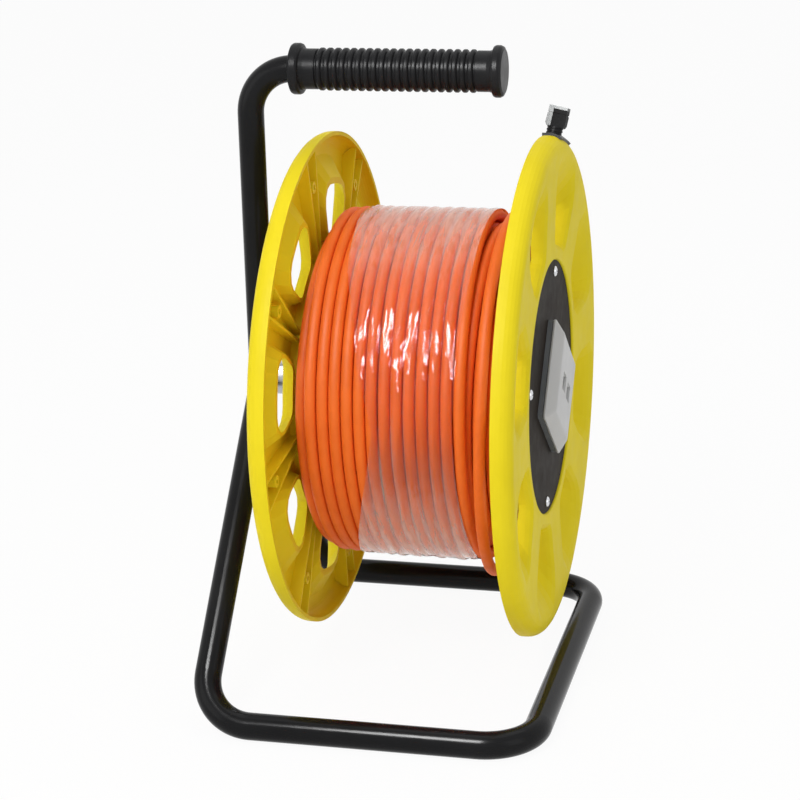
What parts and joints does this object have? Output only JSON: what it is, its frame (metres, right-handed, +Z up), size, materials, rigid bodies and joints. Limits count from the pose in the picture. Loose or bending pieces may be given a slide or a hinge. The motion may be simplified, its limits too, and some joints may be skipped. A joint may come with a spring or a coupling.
{
  "type": "cable reel",
  "caption": "Free-standing cable reel with bent tube frame, ribbed handle, moulded flanges with windows, wound data cable with plug, and a shuttered outlet on the hub.",
  "frame": {"origin": "centre of the reel's bounding box on the floor", "axes": "+Z up, +X along the drum axis toward the outlet side, +Y toward the rear of the frame"},
  "size_m": [0.263, 0.406, 0.475],
  "materials": {
    "black_paint": "gloss",
    "axle_steel": "satin",
    "zinc": "bright",
    "grip_rubber": "satin",
    "yellow_plastic": "semi-gloss",
    "black_plastic": "semi-gloss",
    "dark_plate": "gloss",
    "grey_plastic": "satin",
    "port_plastic": "satin",
    "white_plastic": "satin",
    "orange_jacket": "satin",
    "film": "clear",
    "shield_metal": "bright",
    "clear_plastic": "clear"
  },
  "bodies": {
    "frame": {"handle_tube": "black_paint", "leg_tube": "black_paint", "base_tube": "black_paint", "rear_tube": "black_paint", "axle": "axle_steel", "thrust_washer": "zinc", "end_washer": "zinc", "axle_nut": "zinc", "handle_grip": "grip_rubber"},
    "drum": {"left_flange": "yellow_plastic", "right_flange": "yellow_plastic", "drum_barrel": "yellow_plastic", "bearing_sleeve": "black_plastic", "left_screws": "zinc", "right_screws": "zinc", "hub_plate": "dark_plate", "outlet_box": "grey_plastic", "outlet_cover": "grey_plastic", "port_a": "port_plastic", "port_b": "port_plastic", "cable_core": "orange_jacket", "cable_winding": "orange_jacket", "cable_tail": "orange_jacket", "cable_film": "film", "plug_boot": "black_plastic", "plug_body": "black_plastic", "plug_shield": "shield_metal", "plug_latch": "clear_plastic", "plug_clip": "black_plastic"},
    "shutter_a": {"shutter_a": "white_plastic"},
    "shutter_b": {"shutter_b": "white_plastic"}
  },
  "joints": [
    {"name": "drum_turn", "type": "hinge", "parent": "frame", "child": "drum", "pos_m": [0.012, 0.013, 0.213], "axis": [1, 0, 0], "continuous": true},
    {"name": "shutter_a_slide", "type": "slide", "parent": "drum", "child": "shutter_a", "axis": [0, 0.6252, 0.7804], "range_m": [0, 0.013]},
    {"name": "shutter_b_slide", "type": "slide", "parent": "drum", "child": "shutter_b", "axis": [0, 0.6252, 0.7804], "range_m": [0, 0.013]}
  ]
}
